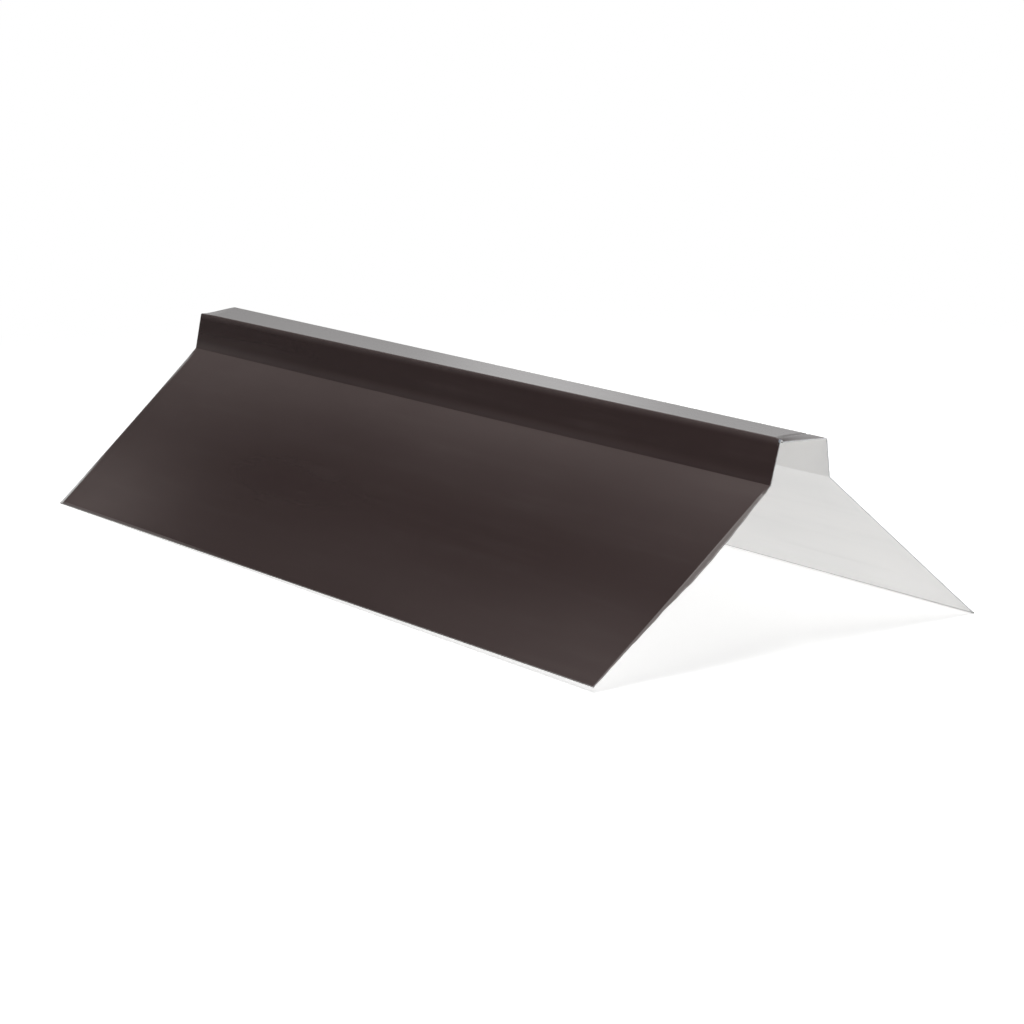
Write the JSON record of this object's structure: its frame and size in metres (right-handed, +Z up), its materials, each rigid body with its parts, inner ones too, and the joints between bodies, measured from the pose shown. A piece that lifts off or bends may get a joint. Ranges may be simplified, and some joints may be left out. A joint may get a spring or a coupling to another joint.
{
  "type": "ridge flashing",
  "caption": "Ridge flashing folded from one pre-painted steel sheet: a raised flat top, two leaning risers and two wings that lie down the roof slopes.",
  "frame": {"origin": "midway along and across the flashing, on the level floor that the lower edges of its two wings stand on", "axes": "+X along the ridge, +Y across the ridge, +Z up"},
  "size_m": [0.675, 0.3, 0.1318],
  "materials": {
    "painted_steel": "semi-gloss dark brown paint on the upper face, pale grey back coat on the under face, bare zinc at the sheared edges"
  },
  "bodies": {
    "root": {"ridge_flashing": "painted_steel"}
  },
  "joints": []
}
